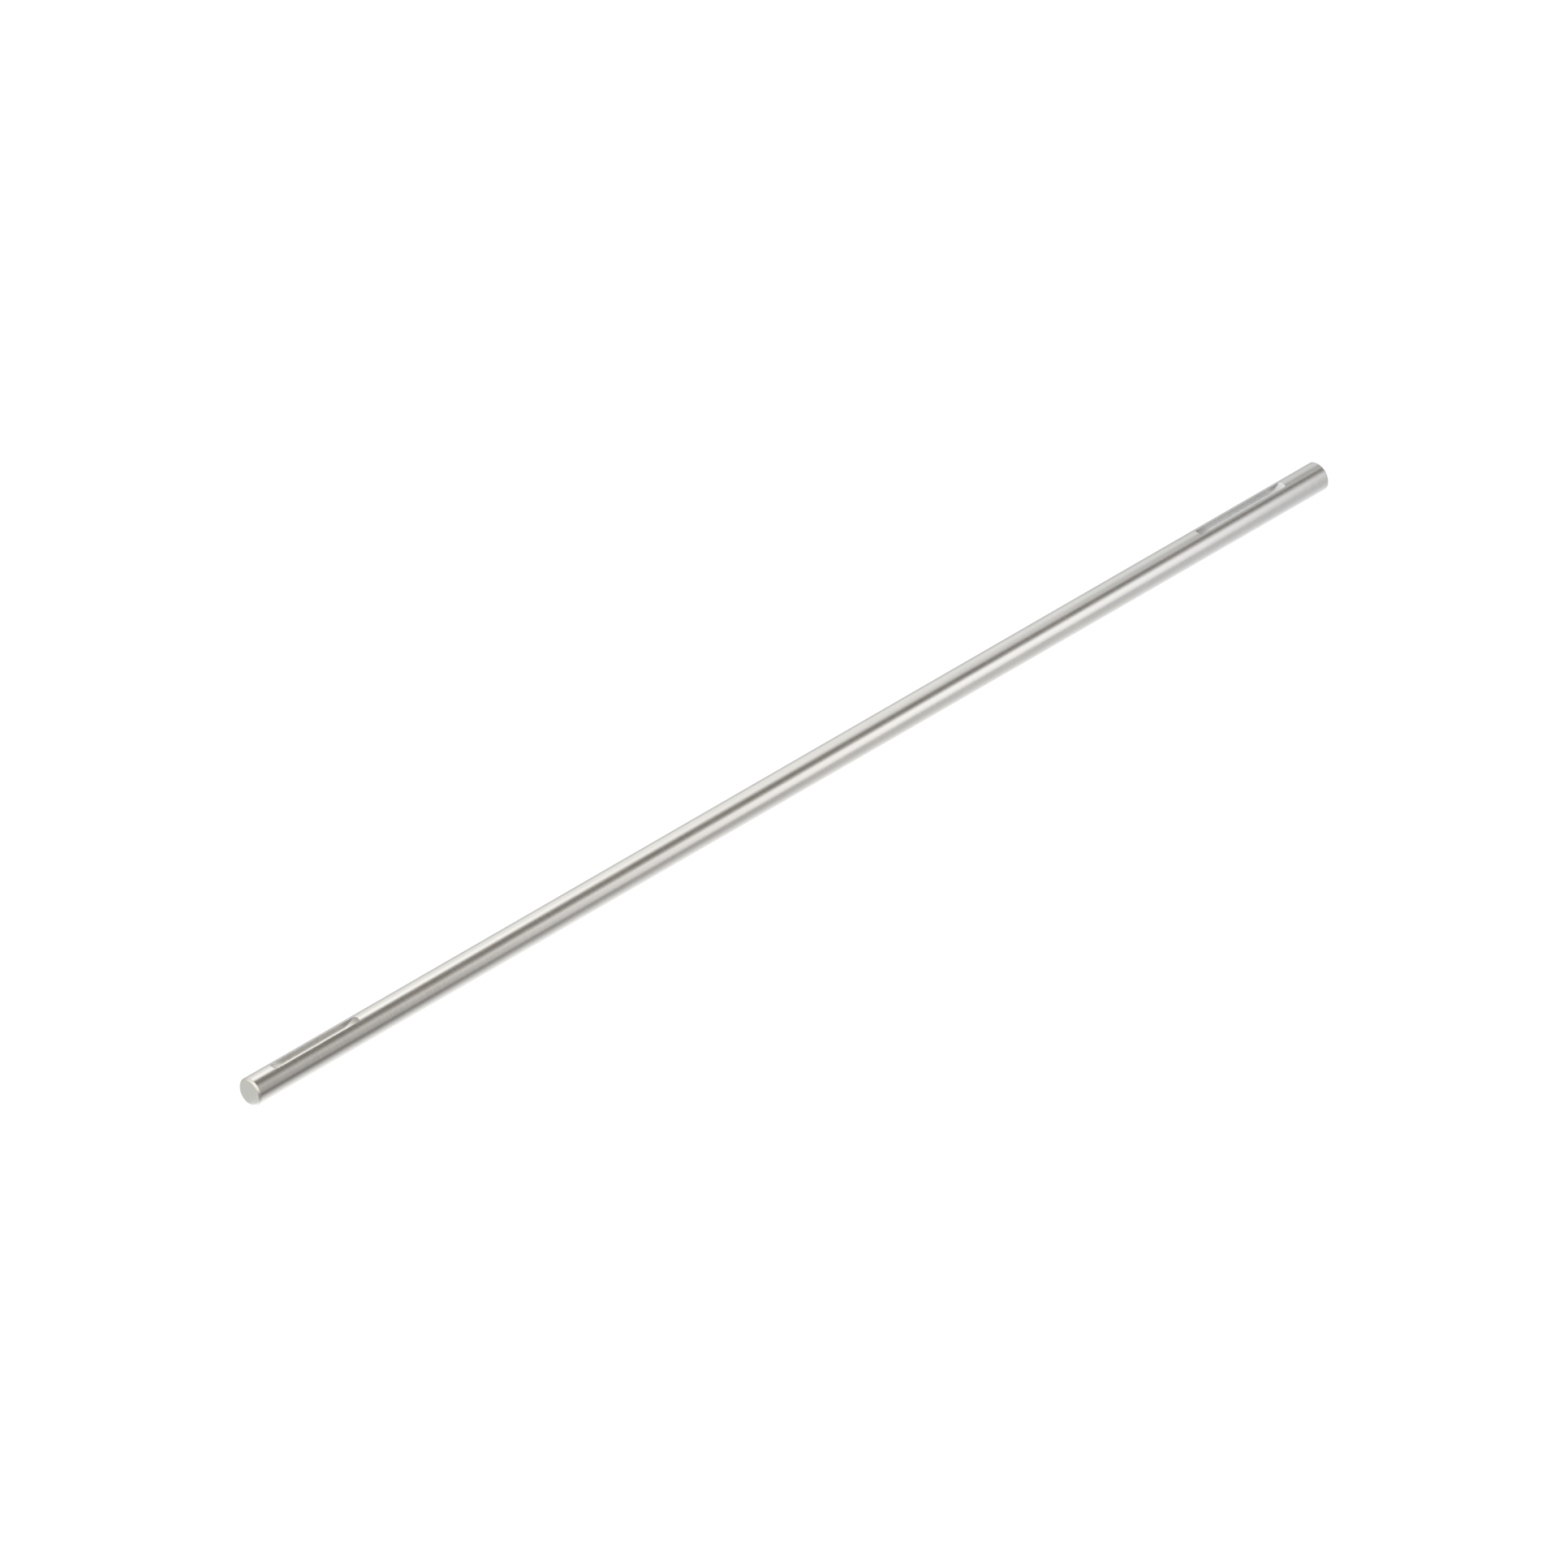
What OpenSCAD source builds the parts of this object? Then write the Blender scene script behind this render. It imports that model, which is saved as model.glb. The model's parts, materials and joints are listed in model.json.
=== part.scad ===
// Plain round drive shaft with a sled-runner keyway near each end.
// The shaft lies along X with its middle at the origin, and both keyways are cut
// into its top (+Z). The near end is at -X and the far end at +X.

/* [Shaft] */
// Diameter of the ground shaft
shaft_d = 20; // [14:0.5:30]
// Length over both end faces
shaft_len = 985; // [400:1:1500]
// Chamfer of the near end, measured along the axis and across it
near_chamfer = 1.4; // [0.2:0.1:4]
// Chamfer of the far end, measured along the axis and across it
far_chamfer = 1.4; // [0.2:0.1:4]

/* [Keyways] */
// Width of both keyways, equal to the width of the key
key_w = 6; // [3:0.5:8]
// Depth of the keyway floor below the top of the shaft
key_depth = 3; // [1.5:0.1:5]
// Length of the level floor of each keyway, which the key lies on
key_floor_len = 55; // [20:1:120]
// Diameter of the side-milling cutter that leaves the curved run-outs
cutter_d = 50; // [30:1:100]
// Full-round shaft between the near end face and the start of its keyway
near_land = 21; // [5:0.5:60]
// Full-round shaft between the far end face and the end of its keyway
far_land = 33; // [5:0.5:60]

/* [Hidden] */

steel = [0.70, 0.70, 0.68];
shaft_r = shaft_d / 2;
cutter_r = cutter_d / 2;
near_end_x = -shaft_len / 2;
far_end_x = shaft_len / 2;
key_floor_z = shaft_r - key_depth;

// The disc leaves the shaft's top this far beyond the end of the level floor
run_out = sqrt(cutter_r * cutter_r - (cutter_r - key_depth) * (cutter_r - key_depth));

near_floor_x = near_end_x + near_land + run_out;
far_floor_x = far_end_x - far_land - run_out - key_floor_len;

// Turned and ground bar with a chamfer on each end
module bar() {
    half_section = [
        [0, near_end_x],
        [shaft_r - near_chamfer, near_end_x],
        [shaft_r, near_end_x + near_chamfer],
        [shaft_r, far_end_x - far_chamfer],
        [shaft_r - far_chamfer, far_end_x],
        [0, far_end_x]
    ];
    rotate([0, 90, 0]) rotate_extrude($fn = 96) polygon(half_section);
}

// The cutter's disc, standing upright along the shaft with its lowest point at floor level
module cutter_disc(x) {
    translate([x, 0, key_floor_z + cutter_r])
        rotate([90, 0, 0]) cylinder(r = cutter_r, h = key_w, center = true, $fn = 180);
}

// What one pass of the disc takes away, from where it plunges to where it lifts out
module keyway_cut(floor_x) {
    cutter_disc(floor_x);
    cutter_disc(floor_x + key_floor_len);
    translate([floor_x, -key_w / 2, key_floor_z]) cube([key_floor_len, key_w, cutter_r]);
}

module shaft() {
    color(steel) difference() {
        bar();
        keyway_cut(near_floor_x);
        keyway_cut(far_floor_x);
    }
}

shaft();
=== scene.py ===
"""Looks of a keyed machine shaft: its machined steel, a plain studio and the camera.

The file is laid out as an add-on. Its sidebar panel lists the operators, and main() runs them
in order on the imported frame.
"""

import json
import math

import bpy
from bpy.props import FloatProperty, FloatVectorProperty, IntProperty, PointerProperty
from mathutils import Matrix, Vector


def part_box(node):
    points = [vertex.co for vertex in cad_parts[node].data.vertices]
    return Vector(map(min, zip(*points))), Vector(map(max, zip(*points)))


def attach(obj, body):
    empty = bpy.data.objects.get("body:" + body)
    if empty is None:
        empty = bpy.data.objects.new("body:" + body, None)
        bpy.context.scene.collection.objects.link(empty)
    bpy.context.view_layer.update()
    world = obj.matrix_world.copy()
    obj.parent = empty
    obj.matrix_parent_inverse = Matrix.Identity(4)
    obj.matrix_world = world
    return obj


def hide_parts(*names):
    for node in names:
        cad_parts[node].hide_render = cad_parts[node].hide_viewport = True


bl_info = {
    "name": "Machine shaft",
    "version": (1, 0, 0),
    "blender": (4, 5, 0),
    "location": "3D View > Sidebar > Machine shaft",
    "description": "Makes a ground steel shaft with two milled keyways, and a studio round it",
    "category": "Object",
}

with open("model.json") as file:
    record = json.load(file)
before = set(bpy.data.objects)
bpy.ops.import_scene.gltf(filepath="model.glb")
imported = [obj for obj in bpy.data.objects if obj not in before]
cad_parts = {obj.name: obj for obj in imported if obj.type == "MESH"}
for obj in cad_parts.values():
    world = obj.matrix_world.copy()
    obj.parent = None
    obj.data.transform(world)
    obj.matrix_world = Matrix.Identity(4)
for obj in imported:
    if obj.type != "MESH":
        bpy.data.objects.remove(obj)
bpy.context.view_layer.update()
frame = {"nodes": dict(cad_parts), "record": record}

MM = 0.001
PHOTO_PIXELS = 1932  # the photograph is square
LENGTH_PIXELS = 1863.9  # the shaft's length in it, if the shaft were seen square on
VIEW_AZIMUTH = math.radians(-45)
VIEW_ELEVATION = math.atan(math.sqrt(0.5))  # the view goes down a cube's diagonal
SAME_PLANE = 0.01 * MM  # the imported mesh's points in one plane are nearer to it than this


def measure_shaft():
    """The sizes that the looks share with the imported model, in metres."""
    mounts = {mount["name"]: mount for mount in frame["record"]["mounts"]}
    low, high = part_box("shaft")
    length = high.x - low.x
    chamfer = (length - mounts["journal"]["dims"]["length_mm"] * MM) / 2
    floor_z = mounts["near_key_seat"]["pos_m"][2]
    points = [vertex.co for vertex in frame["nodes"]["shaft"].data.vertices]
    floor = [p for p in points if abs(p.z - floor_z) < SAME_PLANE and p.x < 0]
    floor_start = min(p.x for p in floor)
    floor_end = max(p.x for p in floor)
    key_width = 2 * max(p.y for p in floor)
    # The run-out is an arc of the cutter, from the end of the floor up to the mouth's corner
    run_out = [
        p
        for p in points
        if abs(p.y - key_width / 2) < SAME_PLANE and low.x + 2 * chamfer < p.x < floor_start
    ]
    corner = max(run_out, key=lambda p: p.z)
    reach, rise = floor_start - corner.x, corner.z - floor_z
    return {
        "radius": high.z,
        "length": length,
        "chamfer": chamfer,
        "key_width": key_width,
        "key_depth": high.z - floor_z,
        "key_floor": floor_end - floor_start,
        "cutter_radius": (reach**2 + rise**2) / (2 * rise),
        "near_keyway": mounts["near_key_seat"]["pos_m"][0],
        "far_keyway": mounts["far_key_seat"]["pos_m"][0],
    }


CAD = measure_shaft()


def linear(hex_colour):
    """Turns an sRGB hex colour to linear values."""
    channels = [int(hex_colour[i : i + 2], 16) / 255 for i in (1, 3, 5)]
    return [c / 12.92 if c <= 0.04045 else ((c + 0.055) / 1.055) ** 2.4 for c in channels]


def add_node(tree, kind, inputs=None, **settings):
    """Adds a node, sets its properties, and links or sets its inputs."""
    made = tree.nodes.new(kind)
    for name, value in settings.items():
        setattr(made, name, value)
    for key, value in (inputs or {}).items():
        if isinstance(value, bpy.types.NodeSocket):
            tree.links.new(value, made.inputs[key])
        else:
            made.inputs[key].default_value = value
    return made


# Settings that a user would change


class ShaftSizes(bpy.types.PropertyGroup):
    """Sizes of the shaft: the model's own, and the small ones that only the looks have."""

    radius: FloatProperty(
        name="Radius", description="Radius of the ground bar", default=CAD["radius"], unit="LENGTH"
    )
    length: FloatProperty(
        name="Length", description="Length over the end faces", default=CAD["length"], unit="LENGTH"
    )
    chamfer: FloatProperty(
        name="Chamfer", description="Leg of both end chamfers", default=CAD["chamfer"], unit="LENGTH"
    )
    key_width: FloatProperty(
        name="Key width", description="Width of both keyways", default=CAD["key_width"], unit="LENGTH"
    )
    key_depth: FloatProperty(
        name="Key depth",
        description="Depth of the keyway floor below the top of the bar",
        default=CAD["key_depth"],
        unit="LENGTH",
    )
    key_floor: FloatProperty(
        name="Key floor",
        description="Length of the level floor of each keyway",
        default=CAD["key_floor"],
        unit="LENGTH",
    )
    cutter_radius: FloatProperty(
        name="Cutter radius",
        description="Radius of the disc that milled the keyways",
        default=CAD["cutter_radius"],
        unit="LENGTH",
    )
    near_keyway: FloatProperty(
        name="Near keyway",
        description="Middle of the keyway with the shorter land",
        default=CAD["near_keyway"],
        unit="LENGTH",
    )
    far_keyway: FloatProperty(
        name="Far keyway",
        description="Middle of the keyway with the longer land",
        default=CAD["far_keyway"],
        unit="LENGTH",
    )
    corner_break: FloatProperty(
        name="Corner break",
        description="How far a file or cloth has rounded the turned corners",
        default=0.15 * MM,
        unit="LENGTH",
    )
    mouth_break: FloatProperty(
        name="Mouth break",
        description="Leg of the deburred long edges of the keyways",
        default=0.15 * MM,
        unit="LENGTH",
    )
    sides: IntProperty(name="Sides", description="Facets round the bar", default=360, min=24)
    arc_steps: IntProperty(
        name="Arc steps", description="Facets in a quarter turn of the cutter", default=90, min=8
    )


class SteelFinish(bpy.types.PropertyGroup):
    """Colour, polish and tool marks of the three machined finishes."""

    ground_colour: FloatVectorProperty(
        name="Ground colour",
        description="Colour of the bar's ground outside",
        default=linear("#DCDAD7"),
        subtype="COLOR",
    )
    turned_colour: FloatVectorProperty(
        name="Turned colour",
        description="Colour of the faced ends and their chamfers",
        default=linear("#DBDAD4"),
        subtype="COLOR",
    )
    milled_colour: FloatVectorProperty(
        name="Milled colour",
        description="Colour of the keyways' floors and walls",
        default=linear("#E9E8E5"),
        subtype="COLOR",
    )
    far_tint: FloatVectorProperty(
        name="Far tint",
        description="What the steel's colours are multiplied by at the far end, a little cooler",
        default=linear("#F8FBFF"),
        subtype="COLOR",
    )
    ground_roughness: FloatProperty(
        name="Ground roughness",
        description="Roughness of the ground outside",
        default=0.25,
        subtype="FACTOR",
    )
    turned_roughness: FloatProperty(
        name="Turned roughness",
        description="Roughness of the faced ends",
        default=0.34,
        subtype="FACTOR",
    )
    milled_roughness: FloatProperty(
        name="Milled roughness",
        description="Roughness inside the keyways",
        default=0.3,
        subtype="FACTOR",
    )
    grinding_pitch: FloatProperty(
        name="Grinding pitch",
        description="Distance between grinding marks along the bar",
        default=0.5 * MM,
        unit="LENGTH",
    )
    facing_pitch: FloatProperty(
        name="Facing pitch",
        description="Distance between the lathe tool's rings on an end face",
        default=0.35 * MM,
        unit="LENGTH",
    )
    milling_pitch: FloatProperty(
        name="Milling pitch",
        description="Distance between the cutter's marks along a keyway",
        default=0.8 * MM,
        unit="LENGTH",
    )


class StudioLight(bpy.types.PropertyGroup):
    """Levels of the studio, as radiance, where 1 is what a white page sends back."""

    back_softbox: FloatProperty(
        name="Back softbox", description="Level in the middle of the back softbox", default=0.635
    )
    front_softbox: FloatProperty(
        name="Front softbox", description="Level in the middle of the front softbox", default=0.986
    )
    end_softbox: FloatProperty(
        name="End softbox", description="Level in the middle of the one off the near end", default=1.23
    )
    far_fill: FloatProperty(
        name="Far fill", description="Level of the small cool light over the far end", default=0.518
    )
    overhead: FloatProperty(
        name="Overhead panel", description="Level of the panel that lights the paper", default=1.6
    )
    wall_foot: FloatVectorProperty(
        name="Foot of the walls",
        description="Studio walls at the height of the floor, which only the steel sees",
        default=linear("#B6B3AF"),
        subtype="COLOR",
    )
    wall_top: FloatVectorProperty(
        name="Top of the walls",
        description="Studio walls where they meet the ceiling, which only the steel sees",
        default=linear("#B9B7B3"),
        subtype="COLOR",
    )
    ceiling: FloatVectorProperty(
        name="Ceiling",
        description="Studio ceiling, which only the steel sees",
        default=linear("#807C74"),
        subtype="COLOR",
    )
    # The paper's levels below are painted light on the paper, which only the steel sees
    paper_near: FloatVectorProperty(
        name="Paper below",
        description="Level of the paper just in front of the shaft, at the near end and the far end",
        default=(1.57, 1.41),
        size=2,
    )
    paper_far: FloatVectorProperty(
        name="Paper in front",
        description="Level of the paper farther in front, at the near end and at the far end",
        default=(0.235, 0.715),
        size=2,
    )
    paper_strip: FloatVectorProperty(
        name="Bright strip",
        description="Width of the bright paper, at the near end and at the far end",
        default=(20.3 * MM, 11.1 * MM),
        size=2,
        subtype="XYZ_LENGTH",
    )
    paper_change: FloatVectorProperty(
        name="Change along",
        description="Where along X the paper in front starts and ends to change between the two",
        default=(-0.473, 0.228),
        size=2,
        subtype="XYZ_LENGTH",
    )
    paper_back: FloatVectorProperty(
        name="Paper behind",
        description="Level of the paper just behind the shaft, and farther back",
        default=(0.8, 0.58),
        size=2,
    )
    paper_depth: FloatProperty(
        name="Depth behind",
        description="How far back the paper behind the shaft stays bright",
        default=162 * MM,
        unit="LENGTH",
    )


# The shaft

WELD = 1e-7  # points nearer than this, in metres, are one point
SLIVER = 5e-7  # width of what two cuts that meet in one edge can leave between them, in metres
ARC_SHARE = 0.99999  # of the cutter's radius, so that the two arcs of an end stay apart
TAPER = 12.0  # length over which the deburring tool comes to a point, in mouth breaks
NEARLY_OUTSIDE = 0.998  # of the radius: the bar's facets lie above this, and milled faces below
AT_OUTSIDE = 0.9995  # of the radius: the outer side of a deburred edge lies above this
WALL = 0.9  # a milled face whose normal has more Y than this is a keyway's wall
FLOOR = 0.3  # and with less Y than this it is the floor or a run-out


def shaft_tree():
    """Geometry Nodes of the shaft: a turned bar, less the two keyways and their deburred edges."""
    tree = bpy.data.node_groups.new("keyed_shaft", "GeometryNodeTree")
    face = tree.interface
    for name in (
        "Radius",
        "Length",
        "Chamfer",
        "Corner break",
        "Key width",
        "Key depth",
        "Key floor",
        "Cutter radius",
        "Near keyway",
        "Far keyway",
        "Mouth break",
    ):
        face.new_socket(name, in_out="INPUT", socket_type="NodeSocketFloat")
    for name in ("Sides", "Arc steps"):
        face.new_socket(name, in_out="INPUT", socket_type="NodeSocketInt")
    for name in ("Ground", "Turned", "Milled"):
        face.new_socket(name, in_out="INPUT", socket_type="NodeSocketMaterial")
    face.new_socket("Shaft", in_out="OUTPUT", socket_type="NodeSocketGeometry")
    given = tree.nodes.new("NodeGroupInput").outputs
    bar = turned_bar(tree, given)
    keyed = less_keyways(tree, given, bar)
    # The two tools meet the same edge, which can leave slivers a few nanometres wide
    clean = add_node(tree, "GeometryNodeMergeByDistance", {"Geometry": keyed, "Distance": SLIVER})
    whole = add_node(tree, "GeometryNodeRealizeInstances", {"Geometry": clean.outputs[0]})
    finished = finish_by_region(tree, given, whole.outputs[0])
    add_node(tree, "NodeGroupOutput", {0: finished})
    return tree


def spindle(tree, stations, sides, caps):
    """A body turned about X through its stations, each a place along X and a radius there."""
    index = add_node(tree, "GeometryNodeInputIndex").outputs[0]
    along = add_node(tree, "GeometryNodeIndexSwitch", data_type="FLOAT")
    ring = add_node(tree, "GeometryNodeIndexSwitch", data_type="FLOAT")
    for switch, values in zip((along, ring), zip(*stations)):
        while len(switch.index_switch_items) < len(values):
            switch.index_switch_items.new()
        tree.links.new(index, switch.inputs[0])
        for item, value in enumerate(values):
            if isinstance(value, bpy.types.NodeSocket):
                tree.links.new(value, switch.inputs[item + 1])
            else:
                switch.inputs[item + 1].default_value = value
    place = add_node(tree, "ShaderNodeCombineXYZ", {"X": along.outputs[0]})
    points = add_node(tree, "GeometryNodeMeshLine", {"Count": len(stations)})
    placed = add_node(tree, "GeometryNodeSetPosition",
                      {"Geometry": points.outputs[0], "Position": place.outputs[0]})
    axis = add_node(tree, "GeometryNodeMeshToCurve", {"Mesh": placed.outputs[0]})
    profile = add_node(tree, "GeometryNodeCurvePrimitiveCircle",
                       {"Resolution": sides, "Radius": 1.0})
    return add_node(tree, "GeometryNodeCurveToMesh", {
        "Curve": axis.outputs[0],
        "Profile Curve": profile.outputs[0],
        "Scale": ring.outputs[0],
        "Fill Caps": caps,
    }).outputs[0]


def turned_bar(tree, given):
    """The bar, with its ends faced and chamfered and their corners broken.

    Counted from an end face inwards, the four stations of an end are the edge of the face, the
    two edges of the chamfer and the start of the ground length. The corner breaks lie between.
    """
    leg = add_node(tree, "ShaderNodeMath", {0: given["Corner break"], 1: math.sqrt(0.5)},
                   operation="MULTIPLY").outputs[0]
    root = add_node(tree, "ShaderNodeMath", {0: given["Radius"], 1: given["Chamfer"]},
                    operation="SUBTRACT").outputs[0]
    face_radius = add_node(tree, "ShaderNodeMath", {0: root, 1: given["Corner break"]},
                           operation="SUBTRACT").outputs[0]
    inner_radius = add_node(tree, "ShaderNodeMath", {0: root, 1: leg}, operation="ADD").outputs[0]
    outer_radius = add_node(tree, "ShaderNodeMath", {0: given["Radius"], 1: leg},
                            operation="SUBTRACT").outputs[0]
    outer_depth = add_node(tree, "ShaderNodeMath", {0: given["Chamfer"], 1: leg},
                           operation="SUBTRACT").outputs[0]
    ground_depth = add_node(tree, "ShaderNodeMath", {0: given["Chamfer"], 1: given["Corner break"]},
                            operation="ADD").outputs[0]
    half = add_node(tree, "ShaderNodeMath", {0: given["Length"], 1: 0.5},
                    operation="MULTIPLY").outputs[0]
    near_end, far_end = [], []
    for depth, radius in (
        (0.0, face_radius),
        (leg, inner_radius),
        (outer_depth, outer_radius),
        (ground_depth, given["Radius"]),
    ):
        near_x = add_node(tree, "ShaderNodeMath", {0: depth, 1: half}, operation="SUBTRACT")
        far_x = add_node(tree, "ShaderNodeMath", {0: half, 1: depth}, operation="SUBTRACT")
        near_end.append((near_x.outputs[0], radius))
        far_end.insert(0, (far_x.outputs[0], radius))
    return spindle(tree, near_end + far_end, given["Sides"], caps=True)


def less_keyways(tree, given, bar):
    """Takes the path of the side-milling cutter out of the bar at both keyways, then deburrs."""
    # The cutter's path is a flat slot shape standing along the bar: level floor, round ends
    cutter_size = add_node(tree, "ShaderNodeMath", {0: given["Cutter radius"], 1: 2.0},
                           operation="MULTIPLY").outputs[0]
    path_length = add_node(tree, "ShaderNodeMath", {0: given["Key floor"], 1: cutter_size},
                           operation="ADD").outputs[0]
    slot = add_node(tree, "GeometryNodeCurvePrimitiveQuadrilateral",
                    {"Width": path_length, "Height": cutter_size})
    arc_radius = add_node(tree, "ShaderNodeMath", {0: given["Cutter radius"], 1: ARC_SHARE},
                          operation="MULTIPLY").outputs[0]
    rounded = add_node(tree, "GeometryNodeFilletCurve", {
        "Curve": slot.outputs[0],
        "Count": given["Arc steps"],
        "Radius": arc_radius,
        "Limit Radius": True,
    }, mode="POLY")
    plate = add_node(tree, "GeometryNodeFillCurve", {"Curve": rounded.outputs[0]}, mode="NGONS")
    thick = add_node(tree, "GeometryNodeExtrudeMesh", {
        "Mesh": plate.outputs[0],
        "Offset Scale": given["Key width"],
        "Individual": False,
    })
    back = add_node(tree, "GeometryNodeFlipFaces", {"Mesh": plate.outputs[0]})
    both = add_node(tree, "GeometryNodeJoinGeometry", {"Geometry": thick.outputs[0]})
    tree.links.new(back.outputs[0], both.inputs[0])
    closed = add_node(tree, "GeometryNodeMergeByDistance",
                      {"Geometry": both.outputs[0], "Distance": WELD})
    half_width = add_node(tree, "ShaderNodeMath", {0: given["Key width"], 1: 0.5},
                          operation="MULTIPLY").outputs[0]
    floor_z = add_node(tree, "ShaderNodeMath", {0: given["Radius"], 1: given["Key depth"]},
                       operation="SUBTRACT").outputs[0]
    cutter_z = add_node(tree, "ShaderNodeMath", {0: floor_z, 1: given["Cutter radius"]},
                        operation="ADD").outputs[0]
    stand = add_node(tree, "ShaderNodeCombineXYZ", {"Y": half_width, "Z": cutter_z})
    cutter = add_node(tree, "GeometryNodeTransform", {
        "Geometry": closed.outputs[0],
        "Translation": stand.outputs[0],
        "Rotation": (math.pi / 2, 0, 0),
    })

    near = add_node(tree, "ShaderNodeCombineXYZ", {"X": given["Near keyway"]})
    far = add_node(tree, "ShaderNodeCombineXYZ", {"X": given["Far keyway"]})
    keyways = add_node(tree, "GeometryNodeMeshLine", {
        "Count": 2,
        "Start Location": near.outputs[0],
        "Offset": far.outputs[0],
    }, mode="END_POINTS").outputs[0]
    cutters = add_node(tree, "GeometryNodeInstanceOnPoints",
                       {"Points": keyways, "Instance": cutter.outputs[0]})
    milled = add_node(tree, "GeometryNodeMeshBoolean",
                      {"Mesh 1": bar, "Mesh 2": cutters.outputs[0]},
                      operation="DIFFERENCE", solver="EXACT")

    # Mouth's corner: where a wall meets the bar's outside, and how far the floor is below it
    mouth_square = add_node(tree, "ShaderNodeMath", {0: half_width, 1: half_width},
                            operation="MULTIPLY").outputs[0]
    bar_square = add_node(tree, "ShaderNodeMath", {0: given["Radius"], 1: given["Radius"]},
                          operation="MULTIPLY").outputs[0]
    mouth_height = add_node(tree, "ShaderNodeMath", {0: bar_square, 1: mouth_square},
                            operation="SUBTRACT").outputs[0]
    mouth_z = add_node(tree, "ShaderNodeMath", {0: mouth_height}, operation="SQRT").outputs[0]
    rise = add_node(tree, "ShaderNodeMath", {0: mouth_z, 1: floor_z},
                    operation="SUBTRACT").outputs[0]
    # The arc reaches sqrt(rise * (2 * cutter radius - rise)) past the level floor up there
    below_top = add_node(tree, "ShaderNodeMath", {0: cutter_size, 1: rise},
                         operation="SUBTRACT").outputs[0]
    reach_square = add_node(tree, "ShaderNodeMath", {0: rise, 1: below_top},
                            operation="MULTIPLY").outputs[0]
    reach = add_node(tree, "ShaderNodeMath", {0: reach_square}, operation="SQRT").outputs[0]
    half_mouth = add_node(tree, "ShaderNodeMath", {0: given["Key floor"], 1: 0.5, 2: reach},
                          operation="MULTIPLY_ADD").outputs[0]

    # Deburring tool: a thin diamond bar along the mouth's edge, tapered out at its two corners
    taper = add_node(tree, "ShaderNodeMath", {0: given["Mouth break"], 1: TAPER},
                     operation="MULTIPLY").outputs[0]
    full_from = add_node(tree, "ShaderNodeMath", {0: half_mouth, 1: taper},
                         operation="SUBTRACT").outputs[0]
    minus_mouth, minus_full = (
        add_node(tree, "ShaderNodeMath", {0: place, 1: -1.0}, operation="MULTIPLY").outputs[0]
        for place in (half_mouth, full_from)
    )
    tool = spindle(tree, (
        (minus_mouth, 0.0),
        (minus_full, given["Mouth break"]),
        (full_from, given["Mouth break"]),
        (half_mouth, 0.0),
    ), 4, caps=False)
    pointed = add_node(tree, "GeometryNodeMergeByDistance", {"Geometry": tool, "Distance": WELD})
    minus_half = add_node(tree, "ShaderNodeMath", {0: half_width, 1: -1.0},
                          operation="MULTIPLY").outputs[0]
    tools = add_node(tree, "GeometryNodeJoinGeometry")
    for across in (half_width, minus_half):
        where = add_node(tree, "ShaderNodeCombineXYZ", {"Y": across, "Z": mouth_z})
        on_edge = add_node(tree, "GeometryNodeTransform",
                           {"Geometry": pointed.outputs[0], "Translation": where.outputs[0]})
        tree.links.new(on_edge.outputs[0], tools.inputs[0])
    all_tools = add_node(tree, "GeometryNodeInstanceOnPoints",
                         {"Points": keyways, "Instance": tools.outputs[0]})
    return add_node(tree, "GeometryNodeMeshBoolean",
                    {"Mesh 1": milled.outputs[0], "Mesh 2": all_tools.outputs[0]},
                    operation="DIFFERENCE", solver="EXACT").outputs[0]


def finish_by_region(tree, given, shaft):
    """Gives each face its finish: turned near the ends, milled below the bar's outside."""
    position = add_node(tree, "GeometryNodeInputPosition").outputs[0]
    parts = add_node(tree, "ShaderNodeSeparateXYZ", {0: position})
    across = add_node(tree, "ShaderNodeCombineXYZ",
                      {"Y": parts.outputs["Y"], "Z": parts.outputs["Z"]})
    from_axis = add_node(tree, "ShaderNodeVectorMath", {0: across.outputs[0]}, operation="LENGTH")
    from_middle = add_node(tree, "ShaderNodeMath", {0: parts.outputs["X"]}, operation="ABSOLUTE")
    half = add_node(tree, "ShaderNodeMath", {0: given["Length"], 1: 0.5}, operation="MULTIPLY")
    turned_length = add_node(tree, "ShaderNodeMath",
                             {0: given["Chamfer"], 1: given["Corner break"]}, operation="ADD")
    turned_from = add_node(tree, "ShaderNodeMath", {0: half.outputs[0], 1: turned_length.outputs[0]},
                           operation="SUBTRACT")
    is_turned = add_node(tree, "FunctionNodeCompare",
                         {0: from_middle.outputs[0], 1: turned_from.outputs[0]},
                         data_type="FLOAT", operation="GREATER_THAN")
    # A facet of the bar is hardly nearer the axis than its corners, and a milled face is
    nearly_outside = add_node(tree, "ShaderNodeMath", {0: given["Radius"], 1: NEARLY_OUTSIDE},
                              operation="MULTIPLY")
    is_inside = add_node(tree, "FunctionNodeCompare",
                         {0: from_axis.outputs["Value"], 1: nearly_outside.outputs[0]},
                         data_type="FLOAT", operation="LESS_THAN")
    ground = add_node(tree, "GeometryNodeSetMaterial",
                      {"Geometry": shaft, "Material": given["Ground"]})
    milled = add_node(tree, "GeometryNodeSetMaterial", {
        "Geometry": ground.outputs[0],
        "Selection": is_inside.outputs[0],
        "Material": given["Milled"],
    })
    return add_node(tree, "GeometryNodeSetMaterial", {
        "Geometry": milled.outputs[0],
        "Selection": is_turned.outputs[0],
        "Material": given["Turned"],
    }).outputs[0]


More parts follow.
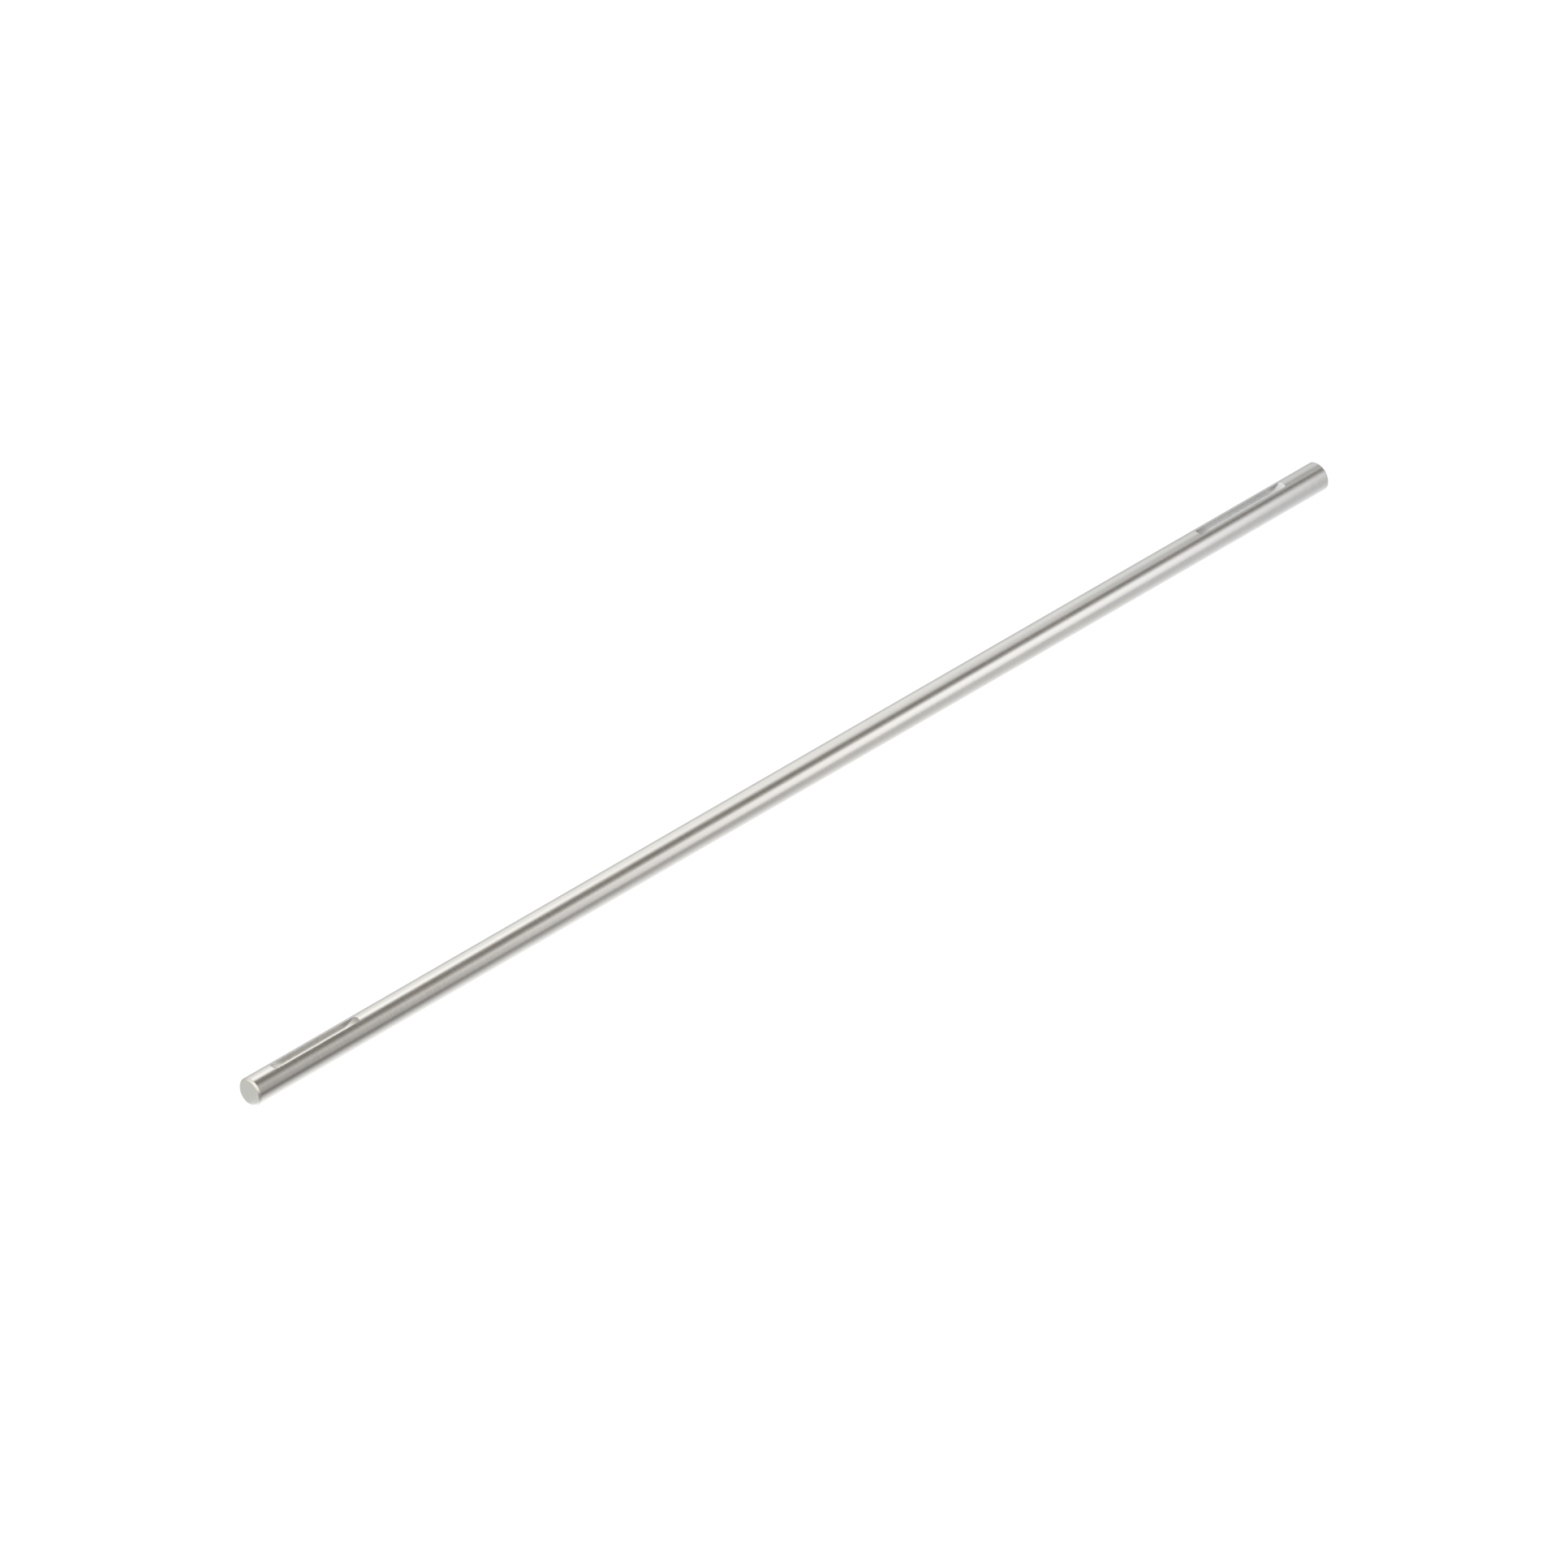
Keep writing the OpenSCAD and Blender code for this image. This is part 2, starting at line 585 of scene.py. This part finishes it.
def true_normals(mesh, sizes):
    """Sets each corner's normal to that of the machined surface, so that no facet shows."""
    finishes = [material.name for material in mesh.materials]
    normals = []
    for face in mesh.polygons:
        finish = finishes[face.material_index]
        for index in face.vertices:
            point = mesh.vertices[index].co
            if finish == TURNED:
                normals.append(turned_normal(point, sizes))
            elif finish == GROUND:
                normals.append(Vector((0, point.y, point.z)).normalized())
            else:
                normals.append(milled_normal(face, point, sizes))
    mesh.shade_smooth()
    mesh.normals_split_custom_set(normals)


def turned_normal(point, sizes):
    """Square on the end face, 45 degrees on the chamfer and round from there."""
    depth = sizes.length / 2 - abs(point.x)
    outward = Vector((0, point.y, point.z)).normalized()
    endward = Vector((math.copysign(1, point.x), 0, 0))
    if depth < sizes.corner_break / 4:  # the next ring of points is 0.7 of the break deep
        return endward
    if depth < sizes.chamfer:
        return (outward + endward).normalized()
    return outward


def milled_normal(face, point, sizes):
    """Level on a keyway's floor, towards the cutter's axis on the run-outs, flat on the walls."""
    if abs(face.normal.y) < FLOOR:
        middle = sizes.near_keyway if point.x < 0 else sizes.far_keyway
        half_floor = sizes.key_floor / 2
        axis_x = min(max(point.x, middle - half_floor), middle + half_floor)
        axis_z = sizes.radius - sizes.key_depth + sizes.cutter_radius
        return Vector((axis_x - point.x, 0, axis_z - point.z)).normalized()
    outward = Vector((0, point.y, point.z))
    if abs(face.normal.y) < WALL and outward.length > sizes.radius * AT_OUTSIDE:
        return outward.normalized()
    return Vector((0, math.copysign(1, face.normal.y), 0))


class MACHINE_SHAFT_OT_make_shaft(bpy.types.Operator):
    """Make the shaft: turned, ground and milled steel in place of the plain CAD solid"""

    bl_idname = "machine_shaft.make_shaft"
    bl_label = "Make the shaft"

    def execute(self, context):
        sizes = context.scene.shaft_sizes
        finish = context.scene.steel_finish
        finishes = {
            "Ground": ground_steel(finish),
            "Turned": turned_steel(finish),
            "Milled": milled_steel(finish, sizes),
        }
        tree = shaft_tree()
        raw = bpy.data.objects.new("shaft_nodes", bpy.data.meshes.new("shaft_nodes"))
        context.scene.collection.objects.link(raw)
        modifier = raw.modifiers.new("keyed_shaft", "NODES")
        modifier.node_group = tree
        for socket in tree.interface.items_tree:
            if socket.in_out == "INPUT":
                wanted = finishes.get(socket.name)
                if wanted is None:
                    wanted = getattr(sizes, socket.name.lower().replace(" ", "_"))
                modifier[socket.identifier] = wanted
        evaluated = raw.evaluated_get(context.evaluated_depsgraph_get())
        mesh = bpy.data.meshes.new_from_object(evaluated)
        bpy.data.objects.remove(raw)
        mesh.materials.pop(index=0)  # the booleans leave an empty first slot
        if {material.name for material in mesh.materials} != {GROUND, TURNED, MILLED}:
            raise RuntimeError("a finish is missing: the keyways or the ends weren't cut")
        mesh.name = "ground_shaft"
        true_normals(mesh, sizes)
        shaft = bpy.data.objects.new("ground_shaft", mesh)
        context.scene.collection.objects.link(shaft)
        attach(shaft, "root")
        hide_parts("shaft")
        return {"FINISHED"}


# The steel

GROUND = "centreless_ground_steel"
TURNED = "faced_and_chamfered_steel"
MILLED = "side_milled_steel"
WAVE = math.pi / 10  # metres between the crests of a Wave texture of scale 1


def new_steel(name, colour, roughness):
    """A bare steel surface: metal all through, with the plain metal's own reflection."""
    material = bpy.data.materials.new(name)
    material.use_nodes = True
    material.node_tree.nodes.clear()
    tree = material.node_tree
    steel = add_node(tree, "ShaderNodeBsdfPrincipled",
                     {"Base Color": (*colour, 1), "Metallic": 1.0, "Roughness": roughness})
    add_node(tree, "ShaderNodeOutputMaterial", {"Surface": steel.outputs[0]})
    place = add_node(tree, "ShaderNodeTexCoord").outputs["Object"]
    return material, tree, steel, place


def finish_steel(tree, steel, place, finish, colour, roughness, shade, relief):
    """Links what varies over a steel: its roughness, its colour, and its marks' relief.

    Roughness and shade are each a texture's output, the range it has, and the range that it is
    turned to. Relief is a texture's output and its depth.
    """
    dull, darken = (
        add_node(tree, "ShaderNodeMapRange", {
            "Value": value,
            "From Min": has[0], "From Max": has[1],
            "To Min": wanted[0], "To Max": wanted[1],
        }).outputs[0]
        for value, has, wanted in (roughness, shade)
    )
    tree.links.new(dull, steel.inputs["Roughness"])
    # The colour turns a little cooler from the middle of the shaft to its far end
    parts = add_node(tree, "ShaderNodeSeparateXYZ", {0: place})
    cooler = add_node(tree, "ShaderNodeMapRange",
                      {"Value": parts.outputs["X"], "From Min": 0.0, "From Max": CAD["length"] / 2})
    cool = [c * t for c, t in zip(colour, finish.far_tint)]
    along = add_node(tree, "ShaderNodeMix", {
        "Factor": cooler.outputs[0], 6: (*colour, 1), 7: (*cool, 1),
    }, data_type="RGBA")
    shaded = add_node(tree, "ShaderNodeVectorMath", {0: along.outputs[2], "Scale": darken},
                      operation="SCALE")
    tree.links.new(shaded.outputs[0], steel.inputs["Base Color"])
    marks, depth = relief
    bump = add_node(tree, "ShaderNodeBump", {"Height": marks, "Distance": depth, "Strength": 1.0})
    tree.links.new(bump.outputs[0], steel.inputs["Normal"])


def ground_steel(finish):
    """Ground outside: bright and even, with faint marks round the bar and a trace of handling."""
    colour = list(finish.ground_colour)
    material, tree, steel, place = new_steel(GROUND, colour, finish.ground_roughness)
    # Grinding marks run round the bar. The wheel's own are about 0.02 mm apart, too fine to
    # show, so they are drawn coarser along X, and some 12 mm long round the bar.
    mark_length = 12 * MM
    stretch = add_node(tree, "ShaderNodeMapping", {
        "Vector": place,
        "Scale": (1 / finish.grinding_pitch, 1 / mark_length, 1 / mark_length),
    })
    marks = add_node(tree, "ShaderNodeTexNoise", {
        "Vector": stretch.outputs[0], "Scale": 1.0, "Detail": 3.0, "Roughness": 0.6,
    })
    # Oil and handling leave cloudy patches, longer along the bar than round it
    patch_length, patch_width = 30 * MM, 9 * MM
    cloud = add_node(tree, "ShaderNodeMapping", {
        "Vector": place,
        "Scale": (1 / patch_length, 1 / patch_width, 1 / patch_width),
    })
    patches = add_node(tree, "ShaderNodeTexNoise", {
        "Vector": cloud.outputs[0], "Scale": 1.0, "Detail": 4.0, "Roughness": 0.55,
    })
    # The marks count for one and a half times as much as the patches
    wear = add_node(tree, "ShaderNodeMath",
                    {0: marks.outputs["Fac"], 1: 1.5, 2: patches.outputs["Fac"]},
                    operation="MULTIPLY_ADD").outputs[0]
    wear_range = (0.85, 1.65)
    mean, change = finish.ground_roughness, 0.035
    finish_steel(
        tree, steel, place, finish, colour,
        roughness=(wear, wear_range, (mean - change, mean + change)),
        shade=(wear, wear_range, (0.95, 1.045)),
        relief=(marks.outputs["Fac"], 0.004 * MM),
    )
    return material


def turned_steel(finish):
    """Faced ends and chamfers: satin, with the lathe tool's fine rings about the axis."""
    colour = list(finish.turned_colour)
    material, tree, steel, place = new_steel(TURNED, colour, finish.turned_roughness)
    # The real feed is about 0.1 mm, too fine to show, so the rings are drawn coarser
    rings = add_node(tree, "ShaderNodeTexWave", {
        "Vector": place,
        "Scale": WAVE / finish.facing_pitch,
        "Distortion": 0.6, "Detail": 2.0, "Detail Scale": 0.3,
    }, wave_type="RINGS", rings_direction="X").outputs["Fac"]
    grain_size = 3 * MM
    grain = add_node(tree, "ShaderNodeTexNoise",
                     {"Vector": place, "Scale": 1 / grain_size, "Detail": 5.0, "Roughness": 0.6})
    mean, change = finish.turned_roughness, 0.05
    finish_steel(
        tree, steel, place, finish, colour,
        roughness=(grain.outputs["Fac"], (0.3, 0.7), (mean - change, mean + change)),
        shade=(rings, (0.0, 1.0), (0.95, 1.02)),
        relief=(rings, 0.002 * MM),
    )
    return material


def milled_steel(finish, sizes):
    """Keyways: duller steel with the disc cutter's marks, straight on floors, arcs on walls."""
    colour = list(finish.milled_colour)
    material, tree, steel, place = new_steel(MILLED, colour, finish.milled_roughness)
    parts = add_node(tree, "ShaderNodeSeparateXYZ", {0: place})
    # A tooth at height z above the floor is sqrt(z * (2 * cutter radius - z)) ahead of the
    # disc's lowest point, so each mark is an arc on the wall and a straight line on the floor
    floor_z = sizes.radius - sizes.key_depth
    above = add_node(tree, "ShaderNodeMath", {0: parts.outputs["Z"], 1: floor_z},
                     operation="SUBTRACT", use_clamp=True)
    rest = add_node(tree, "ShaderNodeMath", {0: 2 * sizes.cutter_radius, 1: above.outputs[0]},
                    operation="SUBTRACT")
    ahead_square = add_node(tree, "ShaderNodeMath", {0: above.outputs[0], 1: rest.outputs[0]},
                            operation="MULTIPLY")
    ahead = add_node(tree, "ShaderNodeMath", {0: ahead_square.outputs[0]}, operation="SQRT")
    normal = add_node(tree, "ShaderNodeNewGeometry").outputs["True Normal"]
    facing = add_node(tree, "ShaderNodeSeparateXYZ", {0: normal})
    on_wall = add_node(tree, "ShaderNodeMath", {0: facing.outputs["Y"]}, operation="ABSOLUTE")
    lead = add_node(tree, "ShaderNodeMath", {0: ahead.outputs[0], 1: on_wall.outputs[0]},
                    operation="MULTIPLY")
    phase = add_node(tree, "ShaderNodeMath", {0: parts.outputs["X"], 1: lead.outputs[0]},
                     operation="SUBTRACT")
    line = add_node(tree, "ShaderNodeCombineXYZ", {"X": phase.outputs[0]})
    # The real marks are about 0.15 mm apart, too fine to show, so they are drawn coarser
    marks = add_node(tree, "ShaderNodeTexWave", {
        "Vector": line.outputs[0],
        "Scale": WAVE / finish.milling_pitch,
        "Distortion": 0.8, "Detail": 2.0, "Detail Scale": 0.8,
    }, wave_type="BANDS", bands_direction="X").outputs["Fac"]
    grain_size = 1.5 * MM
    grain = add_node(tree, "ShaderNodeTexNoise",
                     {"Vector": place, "Scale": 1 / grain_size, "Detail": 4.0})
    mean, change = finish.milled_roughness, 0.02
    finish_steel(
        tree, steel, place, finish, colour,
        roughness=(grain.outputs["Fac"], (0.3, 0.7), (mean - change, mean + change)),
        shade=(marks, (0.0, 1.0), (0.96, 1.0)),
        relief=(marks, 0.002 * MM),
    )
    return material


# The stage

PAPER_SIZE = 6.0
PAPER_GLOW = 0.95  # what is left of the paper's white in the darkest shadow
PAPER_SHADE = "#616161"  # how much of the overhead panel's light is added to that
UNDER_SHAFT = 4 * MM  # either way of the axis, the paper in front turns to the paper behind
END_SHADOW = 7 * MM  # how far the shaft's shadow reaches past the near end
END_SHADE = 0.6  # what that shadow leaves of the bright strip
PANEL_SIZE, PANEL_HEIGHT = 4.0, 3.0  # of the overhead panel, in metres
CAMERA_DISTANCE = 3.0
BELL_POWER = 1.6  # 2 would be the usual bell curve, and this one has a sharper top
WALL_BLEND = 0.6  # heights in the room are sines of an angle: the walls' top colour starts here
WALL_EDGE = (0.714, 0.73)  # the walls end here, 46 degrees up
FRONT_FROM, FRONT_RISE = 0.372, 1.58  # where the front wall starts to rise, and how steeply


def make_softbox(context, name, level, place, turn, size, edges, colour):
    """A softbox that is brightest in the middle and fades towards its edges.

    The turn is its bearing, tilt and roll in degrees. The edges, one for each way, are the parts
    of its two halves that fade.
    """
    light = bpy.data.lights.new(name, "AREA")
    light.shape = "RECTANGLE"
    light.size, light.size_y = size
    light.energy = level * math.pi * size[0] * size[1]
    light.use_nodes = True
    tree = light.node_tree
    tree.nodes.clear()
    across = add_node(tree, "ShaderNodeNewGeometry").outputs["Parametric"]
    centred = add_node(tree, "ShaderNodeVectorMath", {0: across, 1: (2, 2, 2), 2: (-1, -1, -1)},
                       operation="MULTIPLY_ADD")
    outness = add_node(tree, "ShaderNodeVectorMath", {0: centred.outputs[0]},
                       operation="ABSOLUTE")
    inside = add_node(tree, "ShaderNodeVectorMath", {0: (1, 1, 1), 1: outness.outputs[0]},
                      operation="SUBTRACT")
    sides = add_node(tree, "ShaderNodeSeparateXYZ", {0: inside.outputs[0]})
    fades = [
        add_node(tree, "ShaderNodeMapRange", {"Value": sides.outputs[way], "From Max": edge},
                 interpolation_type="SMOOTHSTEP").outputs[0]
        for way, edge in zip(("X", "Y"), edges)
    ]
    fade = add_node(tree, "ShaderNodeMath", {0: fades[0], 1: fades[1]}, operation="MULTIPLY")
    glow = add_node(tree, "ShaderNodeEmission",
                    {"Color": (*linear(colour), 1), "Strength": fade.outputs[0]})
    add_node(tree, "ShaderNodeOutputLight", {0: glow.outputs[0]})
    lamp = bpy.data.objects.new(name, light)
    bearing, tilt, roll = (math.radians(angle) for angle in turn)
    lamp.matrix_world = (
        Matrix.Translation(place)
        @ Matrix.Rotation(bearing, 4, "Z")
        @ Matrix.Rotation(tilt, 4, "X")
        @ Matrix.Rotation(roll, 4, "Z")
    )
    lamp.visible_camera = False
    lamp.visible_diffuse = False
    context.scene.collection.objects.link(lamp)


def make_overhead(context, level):
    """A large panel overhead that only the paper is lit by, so that it is white all over."""
    light = bpy.data.lights.new("overhead_panel", "AREA")
    light.shape = "SQUARE"
    light.size = PANEL_SIZE
    light.energy = level * math.pi * light.size**2
    lamp = bpy.data.objects.new("overhead_panel", light)
    lamp.location = (0, 0, PANEL_HEIGHT)
    lamp.visible_camera = False
    lamp.visible_glossy = False
    context.scene.collection.objects.link(lamp)


def bell(tree, distance, width):
    """Nodes of a smooth hump: 1 at no distance, and 0.37 at the given width."""
    ratio = add_node(tree, "ShaderNodeMath", {0: distance, 1: width}, operation="DIVIDE")
    size = add_node(tree, "ShaderNodeMath", {0: ratio.outputs[0]}, operation="ABSOLUTE")
    power = add_node(tree, "ShaderNodeMath", {0: size.outputs[0], 1: BELL_POWER},
                     operation="POWER")
    minus = add_node(tree, "ShaderNodeMath", {0: power.outputs[0], 1: -1.0},
                     operation="MULTIPLY")
    return add_node(tree, "ShaderNodeMath", {0: minus.outputs[0]}, operation="EXPONENT").outputs[0]


def paper(studio, sizes):
    """Seamless white paper: white to the camera, with the shaft's faint shadow on it.

    In the steel it shows a painted glow: a pool of light painted close to the shaft, dimmer
    farther out, and dimmest in front of the near end.
    """
    material = bpy.data.materials.new("seamless_paper")
    material.use_nodes = True
    tree = material.node_tree
    tree.nodes.clear()
    place = add_node(tree, "ShaderNodeTexCoord").outputs["Object"]
    parts = add_node(tree, "ShaderNodeSeparateXYZ", {0: place})
    # The levels that the steel sees here are painted light, not light from the lamps
    along = add_node(tree, "ShaderNodeMapRange", {
        "Value": parts.outputs["X"],
        "From Min": studio.paper_change[0], "From Max": studio.paper_change[1],
    }, interpolation_type="SMOOTHSTEP").outputs[0]
    strip, farther, beside = (
        add_node(tree, "ShaderNodeMapRange",
                 {"Value": along, "To Min": ends[0], "To Max": ends[1]}).outputs[0]
        for ends in (studio.paper_strip, studio.paper_far, studio.paper_near)
    )
    # Off the near end a painted shadow of the shaft dims the strip
    near_end = -sizes.length / 2
    shadow = add_node(tree, "ShaderNodeMapRange", {
        "Value": parts.outputs["X"],
        "From Min": near_end - END_SHADOW, "From Max": near_end,
        "To Min": END_SHADE, "To Max": 1.0,
    }, interpolation_type="SMOOTHSTEP").outputs[0]
    nearer = add_node(tree, "ShaderNodeMath", {0: beside, 1: shadow},
                      operation="MULTIPLY").outputs[0]
    on_strip = bell(tree, parts.outputs["Y"], strip)
    in_front = add_node(tree, "ShaderNodeMapRange",
                        {"Value": on_strip, "To Min": farther, "To Max": nearer}).outputs[0]
    behind = add_node(tree, "ShaderNodeMapRange", {
        "Value": bell(tree, parts.outputs["Y"], studio.paper_depth),
        "To Min": studio.paper_back[1], "To Max": studio.paper_back[0],
    }).outputs[0]
    is_behind = add_node(tree, "ShaderNodeMapRange", {
        "Value": parts.outputs["Y"], "From Min": -UNDER_SHAFT, "From Max": UNDER_SHAFT,
    }, interpolation_type="SMOOTHSTEP").outputs[0]
    seen = add_node(tree, "ShaderNodeMix", {0: is_behind, 2: in_front, 3: behind})
    # A cool white beside the shaft and a warm one farther out, where only the walls light it
    tint = add_node(tree, "ShaderNodeMix", {
        "Factor": on_strip,
        6: (*linear("#FFFEFC"), 1),
        7: (*linear("#FCFEFF"), 1),
    }, data_type="RGBA")
    path = add_node(tree, "ShaderNodeLightPath").outputs
    # Painted light: the steel sees the paper glow with these painted levels
    in_steel = add_node(tree, "ShaderNodeEmission",
                        {"Color": tint.outputs[2], "Strength": seen.outputs[0]})
    white = add_node(tree, "ShaderNodeEmission", {"Strength": PAPER_GLOW})
    matt = add_node(tree, "ShaderNodeBsdfDiffuse", {"Color": (*linear(PAPER_SHADE), 1)})
    lit = add_node(tree, "ShaderNodeAddShader", {0: white.outputs[0], 1: matt.outputs[0]})
    direct = add_node(tree, "ShaderNodeMath",
                      {0: path["Is Camera Ray"], 1: path["Is Transmission Ray"]},
                      operation="MAXIMUM")
    other = add_node(tree, "ShaderNodeMixShader",
                     {0: path["Is Glossy Ray"], 1: matt.outputs[0], 2: in_steel.outputs[0]})
    front = add_node(tree, "ShaderNodeMixShader",
                     {0: direct.outputs[0], 1: other.outputs[0], 2: lit.outputs[0]})
    # From below the paper is clear, so that the shaft's underside can be seen
    clear = add_node(tree, "ShaderNodeBsdfTransparent")
    from_below = add_node(tree, "ShaderNodeNewGeometry").outputs["Backfacing"]
    shown = add_node(tree, "ShaderNodeMixShader",
                     {0: from_below, 1: front.outputs[0], 2: clear.outputs[0]})
    add_node(tree, "ShaderNodeOutputMaterial", {"Surface": shown.outputs[0]})
    return material


def make_world(studio):
    """White for the camera. The steel sees grey walls under a darker ceiling."""
    world = bpy.data.worlds.new("studio")
    bpy.context.scene.world = world
    world.use_nodes = True
    tree = world.node_tree
    tree.nodes.clear()
    upward = add_node(tree, "ShaderNodeTexCoord").outputs["Generated"]
    parts = add_node(tree, "ShaderNodeSeparateXYZ", {0: upward})
    up_wall = add_node(tree, "ShaderNodeMapRange", {
        "Value": parts.outputs["Z"], "From Max": WALL_BLEND,
    }, interpolation_type="SMOOTHSTEP")
    wall = add_node(tree, "ShaderNodeMix", {
        "Factor": up_wall.outputs[0],
        6: (*studio.wall_foot, 1),
        7: (*studio.wall_top, 1),
    }, data_type="RGBA")
    # The walls' upper edge is the sharp side of the shaft's dark band. The front wall is nearer
    # and reaches higher, so that the keyways' ends see it too.
    in_front = add_node(tree, "ShaderNodeMath", {0: -FRONT_FROM, 1: parts.outputs["Y"]},
                        operation="SUBTRACT", use_clamp=True)
    height = add_node(tree, "ShaderNodeMath",
                      {0: in_front.outputs[0], 1: -FRONT_RISE, 2: parts.outputs["Z"]},
                      operation="MULTIPLY_ADD")
    overhead = add_node(tree, "ShaderNodeMapRange", {
        "Value": height.outputs[0], "From Min": WALL_EDGE[0], "From Max": WALL_EDGE[1],
    }, interpolation_type="SMOOTHSTEP")
    room = add_node(tree, "ShaderNodeMix", {
        "Factor": overhead.outputs[0],
        6: wall.outputs[2],
        7: (*studio.ceiling, 1),
    }, data_type="RGBA")
    around = add_node(tree, "ShaderNodeBackground", {"Color": room.outputs[2]})
    white = add_node(tree, "ShaderNodeBackground", {"Color": (1, 1, 1, 1), "Strength": 1.0})
    path = add_node(tree, "ShaderNodeLightPath").outputs
    direct = add_node(tree, "ShaderNodeMath",
                      {0: path["Is Camera Ray"], 1: path["Is Transmission Ray"]},
                      operation="MAXIMUM")
    seen = add_node(tree, "ShaderNodeMixShader",
                    {0: direct.outputs[0], 1: around.outputs[0], 2: white.outputs[0]})
    add_node(tree, "ShaderNodeOutputWorld", {"Surface": seen.outputs[0]})


def make_camera(context, sizes):
    """A parallel view down a cube's diagonal, sized so that the shaft is as long as in the photo."""
    camera = bpy.data.cameras.new("camera")
    camera.type = "ORTHO"
    camera.ortho_scale = PHOTO_PIXELS / LENGTH_PIXELS * sizes.length
    back = Vector((
        math.sin(VIEW_AZIMUTH) * math.cos(VIEW_ELEVATION),
        -math.cos(VIEW_AZIMUTH) * math.cos(VIEW_ELEVATION),
        math.sin(VIEW_ELEVATION),
    ))
    holder = bpy.data.objects.new("camera", camera)
    holder.location = CAMERA_DISTANCE * back
    holder.rotation_mode = "QUATERNION"
    holder.rotation_quaternion = (-back).to_track_quat("-Z", "Y")
    context.scene.collection.objects.link(holder)
    context.scene.camera = holder


class MACHINE_SHAFT_OT_make_stage(bpy.types.Operator):
    """Make the stage: white paper, the lights, the room round them and the camera"""

    bl_idname = "machine_shaft.make_stage"
    bl_label = "Make the stage"

    def execute(self, context):
        sizes = context.scene.shaft_sizes
        studio = context.scene.studio_light
        half = PAPER_SIZE / 2
        corners = [(-half, -half), (half, -half), (half, half), (-half, half)]
        mesh = bpy.data.meshes.new("paper")
        mesh.from_pydata([(x, y, -sizes.radius) for x, y in corners], [], [(0, 1, 2, 3)])
        mesh.materials.append(paper(studio, sizes))
        floor = bpy.data.objects.new("paper", mesh)
        context.scene.collection.objects.link(floor)
        make_softbox(context, "back_softbox", studio.back_softbox, place=(0.317, 0.57, 0.959),
                     turn=(158.6, 94.7, 1.5), size=(2.439, 2.268), edges=(0.968, 0.365),
                     colour="#FCFFFF")
        make_softbox(context, "front_softbox", studio.front_softbox, place=(0.999, -0.971, 0.796),
                     turn=(41.7, 128.3, -5.4), size=(0.798, 3.6), edges=(0.603, 0.75),
                     colour="#FEFEFF")
        make_softbox(context, "end_softbox", studio.end_softbox, place=(-1.013, -0.408, 0.68),
                     turn=(-110.3, 102.4, -1.3), size=(2.489, 1.971), edges=(0.62, 0.748),
                     colour="#FFFFFB")
        make_softbox(context, "far_fill", studio.far_fill, place=(0.6, 0.171, 0.82),
                     turn=(163.6, 59.9, -9.9), size=(2.596, 0.698), edges=(0.724, 0.802),
                     colour="#FFFDFF")
        make_overhead(context, studio.overhead)
        make_world(studio)
        make_camera(context, sizes)
        context.scene.view_settings.view_transform = "Standard"
        return {"FINISHED"}


class MACHINE_SHAFT_PT_panel(bpy.types.Panel):
    """Lists the operators and their settings"""

    bl_idname = "MACHINE_SHAFT_PT_panel"
    bl_label = "Machine shaft"
    bl_space_type = "VIEW_3D"
    bl_region_type = "UI"
    bl_category = "Machine shaft"

    def draw(self, context):
        layout = self.layout
        for operator in OPERATORS:
            layout.operator(operator.bl_idname)
        for group in (
            context.scene.shaft_sizes,
            context.scene.steel_finish,
            context.scene.studio_light,
        ):
            box = layout.box()
            # The first two properties of every group are Blender's own
            for name in group.bl_rna.properties.keys()[2:]:
                box.prop(group, name)


OPERATORS = (MACHINE_SHAFT_OT_make_shaft, MACHINE_SHAFT_OT_make_stage)
CLASSES = (ShaftSizes, SteelFinish, StudioLight, *OPERATORS, MACHINE_SHAFT_PT_panel)


def register():
    for cls in CLASSES:
        bpy.utils.register_class(cls)
    bpy.types.Scene.shaft_sizes = PointerProperty(type=ShaftSizes)
    bpy.types.Scene.steel_finish = PointerProperty(type=SteelFinish)
    bpy.types.Scene.studio_light = PointerProperty(type=StudioLight)


def unregister():
    del bpy.types.Scene.studio_light
    del bpy.types.Scene.steel_finish
    del bpy.types.Scene.shaft_sizes
    for cls in reversed(CLASSES):
        bpy.utils.unregister_class(cls)


def main():
    register()
    bpy.ops.machine_shaft.make_shaft()
    bpy.ops.machine_shaft.make_stage()


if __name__ == "__main__":
    main()
